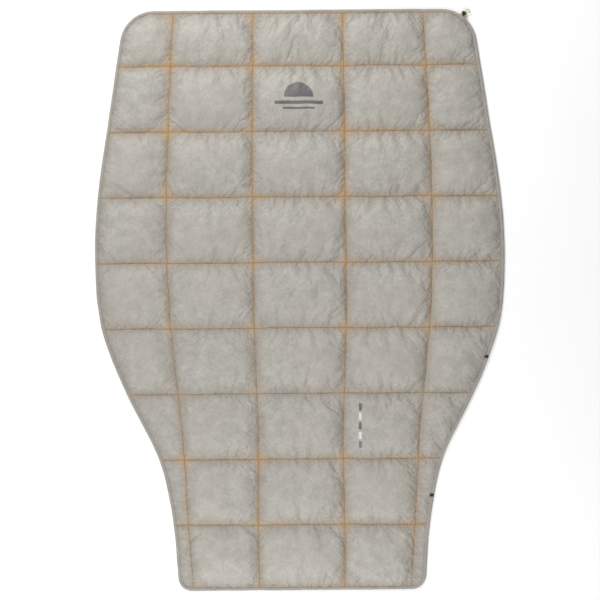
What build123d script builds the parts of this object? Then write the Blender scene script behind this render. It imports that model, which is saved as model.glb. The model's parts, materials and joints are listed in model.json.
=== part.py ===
from build123d import *
import math
import os

# A sewn-through down quilt lying flat: X is its width, +Y points to the head end and Z is up.
# The origin is on the resting plane, at the middle of the quilt.

# Plan of the quilt, in millimetres -------------------------------------------------------
LENGTH = 1900.0
ROWS = 9
ROW_PITCH = 214.625  # every row but the last one, which takes what is left at the head
HALF_LENGTH = LENGTH / 2
ROW_LINES = [-HALF_LENGTH + ROW_PITCH * k for k in range(ROWS)] + [HALF_LENGTH]

# half-widths at the row lines, from the foot to the head
EDGE = [403, 419, 464, 568, 649, 670, 660, 629, 596, 568]
OUTER_SEAM = [354, 372, 383, 401, 424, 434, 436, 429, 419, 406]
INNER_SEAM = [138, 142, 139, 143, 151, 152, 152, 152, 149, 147]
HEAD_CORNER_RADIUS = 115.0
FOOT_CORNER_RADIUS = 48.0

# Cloth, stitching and filling ------------------------------------------------------------
CLOTH = 0.6  # thickness of each fabric layer
LAYER_GAP = 0.3  # between the lining and the shell
SEAM_GAP = 0.25  # each side of a lengthwise seam, where one panel ends and the next begins
LOFT = 36.0  # height of a full chamber above the lining
FULL_LOFT_WIDTH = 170.0  # narrower chambers rise in proportion
SEAM_MARGIN = 6.0  # from a seam to the foot of a chamber's dome
SHOULDER = (0.13, 0.68)  # inset as a part of the chamber's width, height as a part of its loft
CROWN = (0.33, 1.0)
DOWN_CLEARANCE = 0.4  # between the filling and the cloth around it
NARROW_PLACE = 60.0  # a chamber's width is taken at its middle and this far from its lower seam

# Places along a chamber's side where its outline has a point, as parts of the chamber's length:
# more of them where the side turns round a corner of the quilt
STRAIGHT_SIDE = [0.0, 0.5, 1.0]
FOOT_CORNER_SIDE = [0.04, 0.15, 0.5, 1.0]
HEAD_CORNER_SIDE = [0.0, 0.4, 0.7, 0.9, 1.0]

# Hem and stitching
HEM_WIDTH = 12.0
HEM_HEIGHT = 5.0
HEM_WALL = 0.8
EDGE_STITCH_INSET = 15.0
THREAD_WIDTH = 1.0
THREAD_HEIGHT = 0.5
THREAD_GAP = 0.1  # between the shell and the thread on it
THREAD_END = 5.0  # a cross seam's thread stops this far from the lengthwise seams
LENGTHWISE_STITCH_OFFSET = 3.0

SHELL_BASE = CLOTH + LAYER_GAP
SHELL_TOP = SHELL_BASE + CLOTH
THREAD_BASE = SHELL_TOP + THREAD_GAP

# Drawcord and cord lock ------------------------------------------------------------------
CORD_RADIUS = 1.25
CORD_HEIGHT = 2.6
CORD_INSET = HEM_WIDTH / 2
CORD_EXIT_ANGLES = (58.0, 43.0)  # around the head corner, one each side of the lock
CORD_SEWN_ANGLE = 22.0  # where the short end is sewn into the side hem
CORD_TURN_OUT = 8.0  # the cord leaves the hem's line this far before its exit, in degrees
CORD_TURN_IN = 9.0  # and comes back to it this far after its second exit
CORD_EXIT_RISE = 0.3  # of the second run where it goes back into the hem
CORD_HOLE_CLEARANCE = 0.3  # around the cord where it leaves the hem
LOCK_CENTRE = (543.5, 935.0)
LOCK_ANGLE = 25.0  # direction of the cord through the lock, from +X
LOCK_HEIGHT = 4.8  # of the lock's middle
LOCK_SIZE = (12.0, 12.0, 9.4)  # along the cord, along the plunger, and high
LOCK_EDGE_RADIUS = 2.2
LOCK_TOP_RADIUS = 0.8
LOCK_BACK = -7.5  # closed end of the body, along the plunger's travel
LOCK_POCKET = (7.4, 7.4)  # width and height of the plunger's pocket
LOCK_POCKET_END = -6.2
PLUNGER_CLEARANCE = 0.1
PLUNGER_END = -2.6
PLUNGER_TIP = 7.0
PLUNGER_TRAVEL = 2.2
PLUNGER_EDGE_RADIUS = 0.9
CORD_SPACING = 2.7  # between the two runs of cord, one above the other
CORD_CLEARANCE = 0.15
CORD_LEAD = 0.5  # straight cord past each end of the lock
SPRING_RADIUS = 2.3
SPRING_WIRE_RADIUS = 0.18  # thin enough for the coils to close up when the plunger is pressed
SPRING_TURNS = 2.75
SPRING_END_GAP = 0.15  # from each end of the spring to its seat
LOOP_RADIUS = 6.6
LOOP_CENTRE = 14.5  # from the lock's middle
LOOP_END_ANGLE = 110  # from the far side of the loop to where it closes on the lock

# Press studs of the foot box --------------------------------------------------------------
STUD_HEIGHTS_FROM_FOOT = (308.0, 760.0)
TAB_SIZE = (13.0, 9.0, 1.0)
TAB_CORNER_RADIUS = 1.5
TAB_INSET = 7.0
TAB_GAP = 0.3  # between the hem and the tab on it
TAB_BASE = HEM_HEIGHT + TAB_GAP
STUD_GAP = 0.05  # between the tab and the stud's base
STUD_BASE_RADIUS = 4.0
STUD_BASE_HEIGHT = 1.0
STUD_RADIUS = 2.0
STUD_LENGTH = 2.2
SOCKET_RADIUS = 4.4
SOCKET_BORE_RADIUS = 2.06
SOCKET_BORE_LENGTH = 2.3
SOCKET_TOP_WALL = 0.8
SOCKET_GAP = 0.1  # between the lining and the socket
SOCKET_WINDOW_RADIUS = 2.6  # hole in the lining under each socket

BEYOND = 20.0  # how far the strips that divide the quilt run past it
CUT = 0.1  # how far a cut starts outside the face that it opens
SLOPE_STEP = 5.0  # each side of the place where the outline's slope is taken


# Curves ------------------------------------------------------------------------------------
def half_width(stations, y):
    """A smooth curve through the half-widths given at the row lines."""
    y = max(ROW_LINES[0], min(ROW_LINES[-1], y))
    k = max(i for i in range(ROWS) if ROW_LINES[i] <= y)
    span = ROW_LINES[k + 1] - ROW_LINES[k]
    t = (y - ROW_LINES[k]) / span

    def slope(i):
        before, after = max(i - 1, 0), min(i + 1, ROWS)
        return (stations[after] - stations[before]) / (ROW_LINES[after] - ROW_LINES[before])

    start = stations[k] * (1 + 2 * t) * (1 - t) ** 2 + slope(k) * span * t * (1 - t) ** 2
    end = stations[k + 1] * t * t * (3 - 2 * t) - slope(k + 1) * span * t * t * (1 - t)
    return start + end


def edge_slope(y):
    """How fast the outline's half-width grows towards the head."""
    rise = half_width(EDGE, y + SLOPE_STEP) - half_width(EDGE, y - SLOPE_STEP)
    return rise / (2 * SLOPE_STEP)


class Corner:
    """A rounded corner, tangent to the end of the quilt and to its side."""

    def __init__(self, end, radius):
        self.end = end  # +1 at the head, -1 at the foot
        self.radius = radius
        self.y = end * (HALF_LENGTH - radius)
        slope = edge_slope(self.y)
        self.side_direction = (slope, 1.0)
        self.side_angle = -math.atan(slope)
        side_y = self.y + radius * math.sin(self.side_angle)
        self.x = half_width(EDGE, side_y) - radius * math.cos(self.side_angle)

    def point(self, angle, inset=0.0):
        """The point at an angle in degrees from +X, this far inside the corner."""
        radius = self.radius - inset
        turn = math.radians(angle)
        return (self.x + radius * math.cos(turn), self.y + radius * math.sin(turn))

    def arc(self, inset):
        """From the side of the quilt to its end."""
        side = math.degrees(self.side_angle)
        end = 90.0 * self.end
        angles = (side, (side + end) / 2, end)
        return [self.point(angle, inset) for angle in angles]


HEAD_CORNER = Corner(+1, HEAD_CORNER_RADIUS)
FOOT_CORNER = Corner(-1, FOOT_CORNER_RADIUS)


def edge_x(y, inset=0.0):
    """Half-width of the outline, corners included, this far inside the edge."""
    for corner in (HEAD_CORNER, FOOT_CORNER):
        radius = corner.radius - inset
        turn_y = corner.y + radius * math.sin(corner.side_angle)
        if (y - turn_y) * corner.end > 0:
            return corner.x + math.sqrt(max(0.0, radius**2 - (y - corner.y) ** 2))
    return half_width(EDGE, y) - inset * math.hypot(1.0, edge_slope(y))


def outer_seam_x(y):
    return half_width(OUTER_SEAM, y)


def inner_seam_x(y):
    return half_width(INNER_SEAM, y)


# Each column's left and right boundary: a lengthwise seam, or the hem's inner side
COLUMNS = {
    "left_outer": (lambda y: -edge_x(y, HEM_WIDTH), lambda y: -outer_seam_x(y)),
    "left_inner": (lambda y: -outer_seam_x(y), lambda y: -inner_seam_x(y)),
    "centre": (lambda y: -inner_seam_x(y), lambda y: inner_seam_x(y)),
    "right_inner": (lambda y: inner_seam_x(y), lambda y: outer_seam_x(y)),
    "right_outer": (lambda y: outer_seam_x(y), lambda y: edge_x(y, HEM_WIDTH)),
}


# Flat layers -------------------------------------------------------------------------------
def layer(face, bottom, top):
    return extrude(Plane.XY.offset(bottom) * face, top - bottom)


def outline(inset=0.0):
    """The plan of the whole quilt, this far inside its edge."""
    stations = [y for line in ROW_LINES[1:-1] for y in (line - ROW_PITCH / 2, line)]
    head, foot = HEAD_CORNER.arc(inset), FOOT_CORNER.arc(inset)
    side = [foot[0]] + [(edge_x(y, inset), y) for y in stations] + [head[0]]
    tangents = [FOOT_CORNER.side_direction, HEAD_CORNER.side_direction]
    edges = [Line(*[(sign * head[2][0], head[2][1]) for sign in (1, -1)])]
    edges.append(Line(*[(sign * foot[2][0], foot[2][1]) for sign in (1, -1)]))
    for sign in (1, -1):
        flip = lambda points: [(sign * x, y) for x, y in points]
        edges.append(Spline(*flip(side), tangents=flip(tangents)))
        edges.append(ThreePointArc(*flip(head)))
        edges.append(ThreePointArc(*flip(foot)))
    return make_face(edges)


def between(left, right, bottom, top, gap=SEAM_GAP):
    """A layer between two lengthwise curves, past both ends of the quilt."""
    ends = (-HALF_LENGTH - BEYOND, HALF_LENGTH + BEYOND)
    stations = [ends[0]] + ROW_LINES[1:-1] + [ends[1]]
    first = Spline(*[(left(y) + gap, y) for y in stations])
    last = Spline(*[(right(y) - gap, y) for y in stations])
    sides = [Line(first @ 0, last @ 0), Line(first @ 1, last @ 1)]
    return layer(make_face([first, last] + sides), bottom, top)


def column_strip(name, bottom, top):
    """The room that a column takes, out past the hem at the outer columns."""
    left, right = COLUMNS[name]
    far = max(EDGE) + BEYOND
    if name == "left_outer":
        left = lambda y: -far
    if name == "right_outer":
        right = lambda y: far
    return between(left, right, bottom, top)


# Chambers ----------------------------------------------------------------------------------
def chamber_section(name, row, inset, height):
    """A level section of one chamber, as a flat face."""
    left, right = COLUMNS[name]
    start, end = ROW_LINES[row], ROW_LINES[row + 1]
    if row == 0:
        start += HEM_WIDTH
    if row == ROWS - 1:
        end -= HEM_WIDTH
    start, end = start + inset, end - inset
    side = STRAIGHT_SIDE
    if name.endswith("outer") and row == 0:
        side = FOOT_CORNER_SIDE
    if name.endswith("outer") and row == ROWS - 1:
        side = HEAD_CORNER_SIDE
    heights = [start + part * (end - start) for part in side]
    if name == "left_outer":
        left = lambda y: -edge_x(y, HEM_WIDTH + inset) - inset
    if name == "right_outer":
        right = lambda y: edge_x(y, HEM_WIDTH + inset) + inset
    points = [(right(y) - inset, y) for y in heights]
    points += [(left(y) + inset, y) for y in reversed(heights)]
    return Plane.XY.offset(height) * make_face(Polyline(*points, close=True))


def chamber_size(name, row):
    """Width across the chamber's foot, and its loft."""
    left, right = COLUMNS[name]
    middle = (ROW_LINES[row] + ROW_LINES[row + 1]) / 2
    narrowest = min(right(y) - left(y) for y in (middle, ROW_LINES[row] + NARROW_PLACE))
    width = min(narrowest, ROW_LINES[row + 1] - ROW_LINES[row]) - 2 * SEAM_MARGIN
    return width, LOFT * min(1.0, width / FULL_LOFT_WIDTH)


def chamber(name, row, shrink, bottom):
    """The dome of a chamber, made smaller all round by the given amount."""
    width, loft_height = chamber_size(name, row)
    sections = [chamber_section(name, row, SEAM_MARGIN + shrink, bottom)]
    for inset, height in (SHOULDER, CROWN):
        inset_here = SEAM_MARGIN + shrink + inset * width
        sections.append(chamber_section(name, row, inset_here, loft_height * height - shrink))
    return loft(sections, ruled=True)


# The nodes ---------------------------------------------------------------------------------
def hem_ring(inset, width, bottom, top):
    return layer(outline(inset), bottom, top) - layer(outline(inset + width), bottom, top)


def socket_places():
    places = [-HALF_LENGTH + height for height in STUD_HEIGHTS_FROM_FOOT]
    return [(-edge_x(y, CORD_INSET), y) for y in places]


def stud_places():
    places = [-HALF_LENGTH + height for height in STUD_HEIGHTS_FROM_FOOT]
    return [(edge_x(y, TAB_INSET), y) for y in places]


def lining(name):
    piece = layer(outline(), 0.0, CLOTH) & column_strip(name, 0.0, CLOTH)
    if name == "left_outer":
        for x, y in socket_places():
            piece -= Pos(x, y, 0) * Cylinder(SOCKET_WINDOW_RADIUS, 4 * CLOTH)
    return piece


def outer_shell(name):
    plate = layer(outline(), SHELL_BASE, SHELL_TOP) + hem_ring(0, HEM_WIDTH, SHELL_BASE, HEM_HEIGHT)
    tunnel_width = HEM_WIDTH - 2 * HEM_WALL
    plate -= hem_ring(HEM_WALL, tunnel_width, SHELL_BASE - CUT, HEM_HEIGHT - HEM_WALL)
    piece = plate & column_strip(name, 0.0, 2 * HEM_HEIGHT)
    for row in range(ROWS):
        piece += chamber(name, row, 0.0, SHELL_BASE)
    for row in range(ROWS):
        piece -= chamber(name, row, CLOTH, SHELL_BASE - CUT)
    if name == "right_outer":
        piece -= swept_cord(loop_cord_path(), CORD_RADIUS + CORD_HOLE_CLEARANCE)
    return piece


def down(name, rows):
    shrink = CLOTH + DOWN_CLEARANCE
    return [chamber(name, row, shrink, CLOTH + LAYER_GAP / 2) for row in rows]


def cross_stitching(name):
    left, right = COLUMNS[name]
    threads = []
    for y in ROW_LINES[1:-1]:
        start, end = left(y) + THREAD_END, right(y) - THREAD_END
        thread = Box(end - start, THREAD_WIDTH, THREAD_HEIGHT)
        threads.append(Pos((start + end) / 2, y, THREAD_BASE + THREAD_HEIGHT / 2) * thread)
    return threads


def lengthwise_stitching(side, seam_x):
    """The thread of one lengthwise seam, on the side of the seam nearer the middle."""
    near = lambda y: seam_x(y) - LENGTHWISE_STITCH_OFFSET - THREAD_WIDTH / 2
    far = lambda y: seam_x(y) - LENGTHWISE_STITCH_OFFSET + THREAD_WIDTH / 2
    left, right = (near, far) if side > 0 else (lambda y: -far(y), lambda y: -near(y))
    top = THREAD_BASE + THREAD_HEIGHT
    inside = layer(outline(EDGE_STITCH_INSET + THREAD_WIDTH), THREAD_BASE, top)
    return between(left, right, THREAD_BASE, top, gap=0.0) & inside


def edge_stitching(name):
    top = THREAD_BASE + THREAD_HEIGHT
    ring = hem_ring(EDGE_STITCH_INSET - THREAD_WIDTH / 2, THREAD_WIDTH, THREAD_BASE, top)
    return ring & column_strip(name, THREAD_BASE, top)


def cord_between(start_x, end_x):
    """A straight run of drawcord in the head hem."""
    run = Rotation(0, 90, 0) * Cylinder(CORD_RADIUS, end_x - start_x)
    return Pos((start_x + end_x) / 2, HALF_LENGTH - CORD_INSET, CORD_HEIGHT) * run


def swept_cord(edges, radius=CORD_RADIUS):
    path = Wire(edges)
    start = Plane(origin=path @ 0, z_dir=path % 0)
    return sweep(start * Circle(radius), path=path)


def corner_run(sign, last_angle):
    """The drawcord from the outer seam along the hem and some way round the head corner."""
    y = HALF_LENGTH - CORD_INSET
    start = (sign * (outer_seam_x(y) + SEAM_GAP), y, CORD_HEIGHT)
    turn = (sign * HEAD_CORNER.x, y, CORD_HEIGHT)
    angles = (90.0, (90.0 + last_angle) / 2, last_angle)
    points = [HEAD_CORNER.point(angle, CORD_INSET) for angle in angles]
    arc = ThreePointArc(*[(sign * x, y, CORD_HEIGHT) for x, y in points])
    return [Line(start, turn), arc]


def lock_point(along, across, up):
    """A point given from the lock's middle: along its cord, along its plunger, and up."""
    turn = math.radians(LOCK_ANGLE)
    x = LOCK_CENTRE[0] + along * math.cos(turn) - across * math.sin(turn)
    y = LOCK_CENTRE[1] + along * math.sin(turn) + across * math.cos(turn)
    return (x, y, LOCK_HEIGHT + up)


def corner_direction(angle):
    turn = math.radians(angle)
    return (math.cos(turn), math.sin(turn), 0.0)


def loop_cord_path():
    """The drawcord's last run: out of the hem, through the lock, round a loop and back."""
    first, second = CORD_EXIT_ANGLES
    low, high = -CORD_SPACING / 2, CORD_SPACING / 2
    hem = corner_run(1, first + CORD_TURN_OUT)
    reach = LOCK_SIZE[0] / 2 + CORD_LEAD
    outward = corner_direction(LOCK_ANGLE)
    inward = tuple(-value for value in outward)
    out = Spline(
        hem[-1] @ 1,
        (*HEAD_CORNER.point(first, 0.0), CORD_HEIGHT),
        lock_point(-reach, 0, low),
        tangents=[hem[-1] % 1, outward],
    )
    ring = []
    for part in (1.0, 0.5, 0.0, -0.5, -1.0):
        turn = math.radians(part * LOOP_END_ANGLE)
        along = LOOP_CENTRE + LOOP_RADIUS * math.cos(turn)
        ring.append(lock_point(along, LOOP_RADIUS * math.sin(turn), low * part))
    loop = Spline(
        lock_point(reach, 0, low), *ring, lock_point(reach, 0, high), tangents=[outward, inward]
    )
    sewn = HEAD_CORNER.point(CORD_SEWN_ANGLE, CORD_INSET)
    back = Spline(
        lock_point(-reach, 0, high),
        (*HEAD_CORNER.point(second, 0.0), CORD_HEIGHT + CORD_EXIT_RISE),
        (*HEAD_CORNER.point(second - CORD_TURN_IN, CORD_INSET), CORD_HEIGHT),
        (*sewn, CORD_HEIGHT),
        tangents=[inward, corner_direction(CORD_SEWN_ANGLE - 90)],
    )
    there = Line(lock_point(-reach, 0, low), lock_point(reach, 0, low))
    again = Line(lock_point(reach, 0, high), lock_point(-reach, 0, high))
    return hem + [out, there, loop, again, back]


def drawcord(name):
    y = HALF_LENGTH - CORD_INSET
    inner, outer = inner_seam_x(y), outer_seam_x(y)
    if name == "centre":
        return cord_between(-inner + SEAM_GAP, inner - SEAM_GAP)
    if name == "left_inner":
        return cord_between(-outer + SEAM_GAP, -inner - SEAM_GAP)
    if name == "right_inner":
        return cord_between(inner + SEAM_GAP, outer - SEAM_GAP)
    if name == "left_outer":
        return swept_cord(corner_run(-1, CORD_EXIT_ANGLES[0]))
    return swept_cord(loop_cord_path())


# Cord lock: X along the cord, +Y the way the plunger comes out ------------------------------
def at_lock(shape):
    return Location((*LOCK_CENTRE, LOCK_HEIGHT), (0, 0, LOCK_ANGLE)) * shape


def block(width, start, end, height):
    return Pos(0, (start + end) / 2, 0) * Box(width, end - start, height)


def cord_slot(start, end):
    half_height = CORD_SPACING / 2 + CORD_RADIUS + CORD_CLEARANCE
    return block(2 * LOCK_SIZE[0], start, end, 2 * half_height)


def cord_lock_body():
    width, depth, height = LOCK_SIZE
    body = block(width, LOCK_BACK, LOCK_BACK + depth, height)
    body = fillet(body.edges().filter_by(Axis.Z), LOCK_EDGE_RADIUS)
    body = fillet(body.faces().sort_by(Axis.Z)[-1].edges(), LOCK_TOP_RADIUS)
    body -= block(LOCK_POCKET[0], LOCK_POCKET_END, LOCK_BACK + depth + CUT, LOCK_POCKET[1])
    side = CORD_RADIUS + CORD_CLEARANCE
    return at_lock(body - cord_slot(-side, side))


def cord_lock_plunger():
    width, height = [size - 2 * PLUNGER_CLEARANCE for size in LOCK_POCKET]
    plunger = block(width, PLUNGER_END, PLUNGER_TIP, height)
    plunger = fillet(plunger.faces().sort_by(Axis.Y)[-1].edges(), PLUNGER_EDGE_RADIUS)
    side = CORD_RADIUS + CORD_CLEARANCE
    return at_lock(plunger - cord_slot(-side, side + PLUNGER_TRAVEL))


def cord_lock_spring():
    wire = SPRING_WIRE_RADIUS
    room = PLUNGER_END - LOCK_POCKET_END - 2 * (wire + SPRING_END_GAP)
    coil = Helix(pitch=room / SPRING_TURNS, height=room, radius=SPRING_RADIUS)
    start = Plane(origin=coil @ 0, z_dir=coil % 0)
    spring = sweep(start * Circle(wire), path=coil, is_frenet=True)
    spring = Rotation(-90, 0, 0) * spring
    return at_lock(Pos(0, LOCK_POCKET_END + wire + SPRING_END_GAP, 0) * spring)


# Press studs --------------------------------------------------------------------------------
def stud_tabs():
    tab = Box(*TAB_SIZE, align=(Align.CENTER, Align.CENTER, Align.MIN))
    tab = fillet(tab.edges().filter_by(Axis.Z), TAB_CORNER_RADIUS)
    return [Pos(x, y, TAB_BASE) * tab for x, y in stud_places()]


def press_studs():
    low = (Align.CENTER, Align.CENTER, Align.MIN)
    stud = Cylinder(STUD_BASE_RADIUS, STUD_BASE_HEIGHT, align=low)
    stud += Pos(0, 0, STUD_BASE_HEIGHT) * Cylinder(STUD_RADIUS, STUD_LENGTH, align=low)
    height = TAB_BASE + TAB_SIZE[2] + STUD_GAP
    return [Pos(x, y, height) * stud for x, y in stud_places()]


def press_sockets():
    low = (Align.CENTER, Align.CENTER, Align.MIN)
    socket = Cylinder(SOCKET_RADIUS, SOCKET_BORE_LENGTH + SOCKET_TOP_WALL, align=low)
    socket -= Cylinder(SOCKET_BORE_RADIUS, SOCKET_BORE_LENGTH, align=low)
    return [Pos(x, y, CLOTH + SOCKET_GAP) * socket for x, y in socket_places()]


# Writing the nodes --------------------------------------------------------------------------
def solids_of(shape):
    shapes = shape if isinstance(shape, list) else [shape]
    return [solid for item in shapes for solid in item.solids()]


def write(node, shape):
    solids = solids_of(shape)
    whole = solids[0] if len(solids) == 1 else Compound(children=solids)
    export_step(whole, f"parts/{node}.step")


os.makedirs("parts", exist_ok=True)

THIRDS = {"foot": range(0, 3), "torso": range(3, 6), "head": range(6, 9)}
for column in COLUMNS:
    write(f"lining_{column}", lining(column))
    write(f"outer_shell_{column}", outer_shell(column))
    write(f"cross_stitching_{column}", cross_stitching(column))
    write(f"edge_stitching_{column}", edge_stitching(column))
    write(f"drawcord_{column}", drawcord(column))
    for third, rows in THIRDS.items():
        write(f"down_{column}_{third}", down(column, rows))

for side_name, side in (("left", -1), ("right", 1)):
    write(f"lengthwise_stitching_{side_name}_outer", lengthwise_stitching(side, outer_seam_x))
    write(f"lengthwise_stitching_{side_name}_inner", lengthwise_stitching(side, inner_seam_x))

write("cord_lock_body", cord_lock_body())
write("cord_lock_plunger", cord_lock_plunger())
write("cord_lock_spring", cord_lock_spring())
write("stud_tabs", stud_tabs())
write("press_studs", press_studs())
write("press_sockets", press_sockets())
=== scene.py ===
import json
import math

import bpy
import numpy as np
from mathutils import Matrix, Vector
from mathutils.kdtree import KDTree


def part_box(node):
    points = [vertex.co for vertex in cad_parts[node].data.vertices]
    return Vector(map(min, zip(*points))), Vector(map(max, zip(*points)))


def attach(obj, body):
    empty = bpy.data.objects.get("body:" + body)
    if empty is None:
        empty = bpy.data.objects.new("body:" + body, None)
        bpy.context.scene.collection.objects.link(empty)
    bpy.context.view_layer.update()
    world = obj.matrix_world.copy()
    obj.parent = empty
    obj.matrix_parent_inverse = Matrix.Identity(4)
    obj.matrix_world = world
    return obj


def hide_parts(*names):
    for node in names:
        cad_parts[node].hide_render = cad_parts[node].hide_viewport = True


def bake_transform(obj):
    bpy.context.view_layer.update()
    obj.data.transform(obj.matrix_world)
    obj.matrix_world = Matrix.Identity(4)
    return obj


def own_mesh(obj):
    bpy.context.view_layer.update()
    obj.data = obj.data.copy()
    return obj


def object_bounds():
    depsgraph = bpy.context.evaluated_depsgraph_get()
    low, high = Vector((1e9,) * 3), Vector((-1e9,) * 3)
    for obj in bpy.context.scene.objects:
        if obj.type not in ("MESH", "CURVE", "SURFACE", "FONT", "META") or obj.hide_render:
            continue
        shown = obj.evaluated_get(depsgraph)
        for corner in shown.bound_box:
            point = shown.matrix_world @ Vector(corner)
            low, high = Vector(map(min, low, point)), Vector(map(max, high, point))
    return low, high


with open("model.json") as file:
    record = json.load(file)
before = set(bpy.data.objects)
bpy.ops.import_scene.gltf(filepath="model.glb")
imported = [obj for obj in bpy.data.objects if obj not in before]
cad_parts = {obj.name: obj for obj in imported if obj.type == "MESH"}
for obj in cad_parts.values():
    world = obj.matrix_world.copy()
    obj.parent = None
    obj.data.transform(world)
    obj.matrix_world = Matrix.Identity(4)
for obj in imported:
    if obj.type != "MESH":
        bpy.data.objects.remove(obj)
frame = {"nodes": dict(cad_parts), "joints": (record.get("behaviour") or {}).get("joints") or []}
cad_low, cad_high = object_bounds()

# A down quilt lying flat, shell up. Everything is in metres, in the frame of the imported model.
MM = 0.001
RNG = np.random.default_rng(20261)

# Cloth
CLOTH_SPACING = 6 * MM  # of the simulated cloth
FINE = 2  # lines of the finished shell for each line of the simulated cloth
CLOTH_FRAMES = 12
EXTRA_CLOTH = 0.048  # the chambers' cloth is this much longer than the seams around it
CHAMBER_PRESSURE = 2.5
DOME_REACH = 0.05  # over which the starting domes rise from a seam
START_ROUGHNESS = 0.35 * MM
MOST_SIDEWAYS = 14 * MM  # that the simulation may move a point
SOFTENING = 0.12  # share of the way that each simulated point moves to its neighbours' average
SEAM_HEIGHT = 6 * MM  # of the stitched lines above the ground, inside the quilt
EDGE_HEIGHT = 2.9 * MM  # of the hem's middle above the ground
EDGE_REACH = 0.11  # over which the seams come down to the hem's height
HEM_TUCK = 9 * MM  # the shell and lining stop this far inside the edge, inside the hem
FULL_WIDTH = 0.17  # narrower chambers rise less
SEAM_WAVE = 0.5 * MM  # of the seams' height
GROUND_GAP = 0.5 * MM
LINING_GAP = 0.35 * MM  # between the shell and the lining at a seam
LINING_LOWEST = 0.3 * MM

# Reading the frame
EDGE_STEP = 2 * MM  # between points of the edge
SEAM_ALLOWANCE = 3 * MM  # a point this far outside the outer seam is on the edge
ROW_GAP = 20 * MM  # points nearer than this along the length are on one cross seam

COLUMNS = ["left_outer", "left_inner", "centre", "right_inner", "right_outer"]
# Each strip of cloth runs from the middle of one column to the middle of the next: the two
# bodies that it joins, the fold between them, and the columns whose nodes it stands for
STRIPS = [
    ("left_inner", "left_outer", "left_outer_fold", ["left_outer"]),
    ("centre", "left_inner", "left_inner_fold", ["left_inner"]),
    ("centre", "right_inner", "right_inner_fold", ["centre", "right_inner"]),
    ("right_inner", "right_outer", "right_outer_fold", ["right_outer"]),
]
JOINTS = {joint["name"]: joint for joint in frame["joints"]}


# ---- the plan, from the frame
def node_points(node):
    """A CAD node's vertices as an array."""
    mesh = frame["nodes"][node].data
    points = np.empty(len(mesh.vertices) * 3, np.float32)
    mesh.vertices.foreach_get("co", points)
    return points.reshape(-1, 3).astype(float)


def sorted_curve(points):
    """Points as (y, x) arrays in order of y, each y once."""
    y, first = np.unique(points[:, 1].round(6), return_index=True)
    return y, points[first, 0]


def seam_curve(node):
    """The right-hand seam of a column, from its lining's right boundary."""
    points = node_points(node)
    middle = (points[:, 0].min() + points[:, 0].max()) / 2
    return sorted_curve(points[points[:, 0] > middle])


INNER_SEAM = seam_curve("lining_centre")
OUTER_SEAM = seam_curve("lining_right_inner")


def inner_seam(y):
    return np.interp(y, *INNER_SEAM)


def outer_seam(y):
    return np.interp(y, *OUTER_SEAM)


def resample(path, step):
    """A polyline with points at even distances."""
    length = np.concatenate([[0], np.cumsum(np.linalg.norm(np.diff(path, axis=0), axis=1))])
    count = max(2, int(round(length[-1] / step)) + 1)
    at = np.linspace(0, length[-1], count)
    return np.stack([np.interp(at, length, path[:, k]) for k in range(path.shape[1])], -1)


def edge_path():
    """The right-hand edge from the foot line to the head line, corners included."""
    points = node_points("lining_right_outer")
    outside = points[:, 0] > outer_seam(points[:, 1]) + SEAM_ALLOWANCE
    y, x = sorted_curve(points[outside])
    return resample(np.stack([x, y], -1), EDGE_STEP)


EDGE = edge_path()


def inset(path, distance):
    """A polyline moved to its left, which is inwards for the right-hand edge."""
    along = np.gradient(path, axis=0)
    along /= np.linalg.norm(along, axis=1, keepdims=True)
    return path + distance * np.stack([-along[:, 1], along[:, 0]], -1)


def row_lines():
    """The cross seams' places along Y, from the foot to the head."""
    y = np.sort(node_points("cross_stitching_centre")[:, 1])
    groups = np.split(y, np.nonzero(np.diff(y) > ROW_GAP)[0] + 1)
    return [group.mean() for group in groups]


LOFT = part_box("down_centre_torso")[1].z
TUCKED_EDGE = inset(EDGE, HEM_TUCK)
TUCKED_EDGE[0, 1] = cad_low.y + HEM_TUCK
TUCKED_EDGE[-1, 1] = cad_high.y - HEM_TUCK
ROWS = [TUCKED_EDGE[0, 1]] + row_lines() + [TUCKED_EDGE[-1, 1]]


def tucked_edge(y):
    return np.interp(y, TUCKED_EDGE[:, 1], TUCKED_EDGE[:, 0])


# ---- numbers for the surface
NOISE_TABLE = 256


def noise(u, v, seed):
    """Smooth noise between about -1 and 1, with features about one unit across."""
    rng = np.random.default_rng(seed)
    table = np.pad(rng.uniform(-1, 1, (NOISE_TABLE, NOISE_TABLE)), (0, 1), mode="wrap")
    i, j = np.floor(u).astype(int), np.floor(v).astype(int)
    a, b = u - i, v - j
    a, b = a * a * (3 - 2 * a), b * b * (3 - 2 * b)
    i, j = i % NOISE_TABLE, j % NOISE_TABLE
    low = table[i, j] * (1 - a) + table[i + 1, j] * a
    high = table[i, j + 1] * (1 - a) + table[i + 1, j + 1] * a
    return low * (1 - b) + high * b


def smooth(t):
    t = np.clip(t, 0, 1)
    return t * t * (3 - 2 * t)


def stations():
    """Where the grid's lines cross the quilt's length, and which of them are seams."""
    values, seams = [ROWS[0]], [0]
    for start, end in zip(ROWS, ROWS[1:]):
        inside = (TUCKED_EDGE[:, 1] > start) & (TUCKED_EDGE[:, 1] < end)
        ends = [[tucked_edge(start), start]], [[tucked_edge(end), end]]
        path = resample(np.concatenate([ends[0], TUCKED_EDGE[inside], ends[1]]), CLOTH_SPACING)
        values += list(path[1:, 1])
        seams.append(len(values) - 1)
    return np.array(values), seams


def across():
    """Fractions across each column, as grid columns: (column number, fraction)."""
    places, seams = [], [0]
    for column in range(len(COLUMNS)):
        left, right = boundaries(column, np.linspace(ROWS[0], ROWS[-1], 50))
        count = 2 * int(round(np.max(right - left) / CLOTH_SPACING / 2))
        start = 0 if column == 0 else 1
        places += [(column, k / count) for k in range(start, count + 1)]
        seams.append(len(places) - 1)
    return places, seams


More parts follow.
